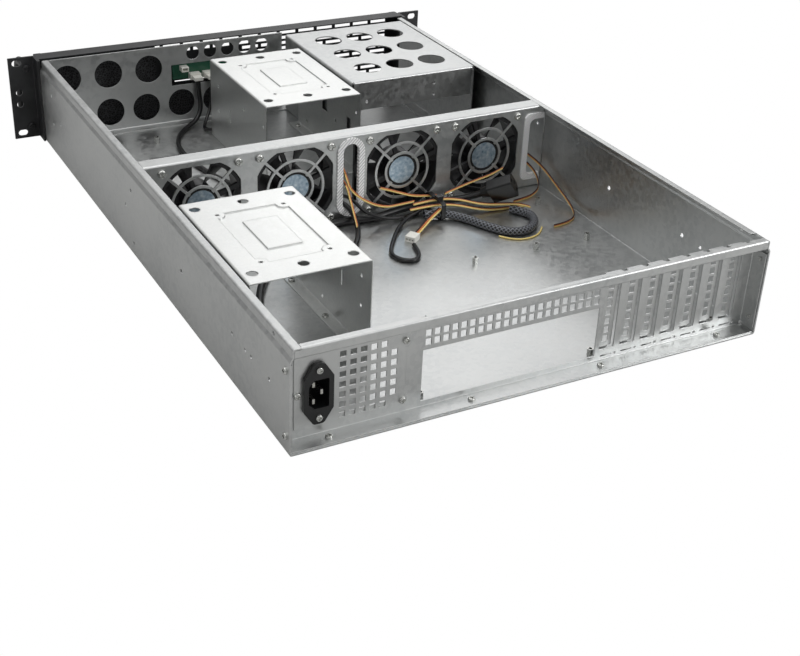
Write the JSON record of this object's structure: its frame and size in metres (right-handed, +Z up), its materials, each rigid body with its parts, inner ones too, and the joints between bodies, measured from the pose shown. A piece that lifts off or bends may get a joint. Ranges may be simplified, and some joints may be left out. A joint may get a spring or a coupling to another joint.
{
  "type": "empty rackmount server case",
  "caption": "Open-topped rackmount server case in zinc-plated steel with a black vented front, a wall of fans, drive cages, card slots, a mains inlet and loose cables.",
  "frame": {"origin": "middle of the outer box's base, under the floor", "axes": "-Y out of the front with the handles, +Y out of the rear panel, +Z up, +X to the left seen from the rear"},
  "size_m": [0.4826, 0.692, 0.088],
  "materials": {
    "galvanised_steel": "zinc-coated sheet with a fine spangle, satin",
    "bright_zinc_steel": "bright zinc-plated sheet, satin",
    "black_powder_coat": "black powder coat, fine texture",
    "black_screw": "black oxide",
    "plated_screw": "zinc-plated, bright",
    "fan_plastic": "black glass-filled nylon, matt",
    "fan_label": "silver-blue printed foil label",
    "inlet_plastic": "black moulded plastic, semi-gloss",
    "pin_brass": "nickel-plated brass",
    "white_nylon": "natural nylon, satin",
    "filter_foam": "black open-cell foam",
    "board_green": "green solder resist, gloss",
    "connector_metal": "nickel-plated sheet",
    "button_black": "black moulded plastic",
    "led_lens": "clear tinted lens",
    "cable_black": "black PVC jacket, satin",
    "braided_sleeve": "black braided polyester sleeve",
    "wire_orange": "orange PVC, satin",
    "wire_yellow": "yellow PVC, satin",
    "wire_brown": "brown PVC, satin",
    "tie_black": "black nylon tie"
  },
  "bodies": {
    "chassis": {"chassis_tray": "galvanised_steel", "front_wall": "galvanised_steel", "rear_panel": "galvanised_steel", "inlet_plate": "galvanised_steel", "slot_covers": "galvanised_steel", "fan_wall": "galvanised_steel", "drive_cage_front": "bright_zinc_steel", "drive_cage_rear": "bright_zinc_steel", "bay_cover": "galvanised_steel", "front_bezel": "black_powder_coat", "ear_left": "black_powder_coat", "ear_right": "black_powder_coat", "handle_left": "black_powder_coat", "handle_right": "black_powder_coat", "power_inlet": "inlet_plastic", "inlet_pins": "pin_brass", "inlet_boot": "cable_black", "slot_trim_centre": "white_nylon", "slot_trim_side": "white_nylon", "fan_frame_1": "fan_plastic", "fan_frame_2": "fan_plastic", "fan_frame_3": "fan_plastic", "fan_frame_4": "fan_plastic", "fan_labels": "fan_label", "filter_foam": "filter_foam", "io_board": "board_green", "board_headers": "white_nylon", "front_plugs": "white_nylon", "switch_bodies": "button_black", "usb_ports": "connector_metal", "status_leds": "led_lens", "standoffs": "plated_screw", "case_screws": "plated_screw", "inlet_screws": "plated_screw", "fan_screws": "plated_screw", "ear_screws": "black_screw", "inlet_lead": "cable_black", "c13_plug": "cable_black", "sleeved_loop": "braided_sleeve", "short_loop": "cable_black", "front_cable": "braided_sleeve", "usb_cable": "cable_black", "side_loop_small": "braided_sleeve", "side_loop_large": "braided_sleeve", "fan_lead_1": "cable_black", "fan_lead_2": "cable_black", "fan_lead_3": "cable_black", "fan_lead_4": "cable_black", "wires_orange": "wire_orange", "wires_yellow": "wire_yellow", "wires_brown": "wire_brown", "fan_plug": "white_nylon", "cable_tie": "tie_black"},
    "fan_1": {"fan_rotor_1": "fan_plastic"},
    "fan_2": {"fan_rotor_2": "fan_plastic"},
    "fan_3": {"fan_rotor_3": "fan_plastic"},
    "fan_4": {"fan_rotor_4": "fan_plastic"},
    "power_key": {"power_button": "button_black"},
    "reset_key": {"reset_button": "button_black"}
  },
  "joints": [
    {"name": "fan_1_spin", "type": "hinge", "parent": "chassis", "child": "fan_1", "pos_m": [0.1523, 0.001, 0.044], "axis": [0, 1, 0], "continuous": true},
    {"name": "fan_2_spin", "type": "hinge", "parent": "chassis", "child": "fan_2", "pos_m": [0.0603, 0.001, 0.044], "axis": [0, 1, 0], "continuous": true},
    {"name": "fan_3_spin", "type": "hinge", "parent": "chassis", "child": "fan_3", "pos_m": [-0.0513, 0.001, 0.044], "axis": [0, 1, 0], "continuous": true},
    {"name": "fan_4_spin", "type": "hinge", "parent": "chassis", "child": "fan_4", "pos_m": [-0.1433, 0.001, 0.044], "axis": [0, 1, 0], "continuous": true},
    {"name": "power_press", "type": "slide", "parent": "chassis", "child": "power_key", "axis": [0, 1, 0], "range_m": [0, 0.002], "stiffness_N_per_m": 300, "springref_m": -0.002},
    {"name": "reset_press", "type": "slide", "parent": "chassis", "child": "reset_key", "axis": [0, 1, 0], "range_m": [0, 0.002], "stiffness_N_per_m": 200, "springref_m": -0.002}
  ]
}
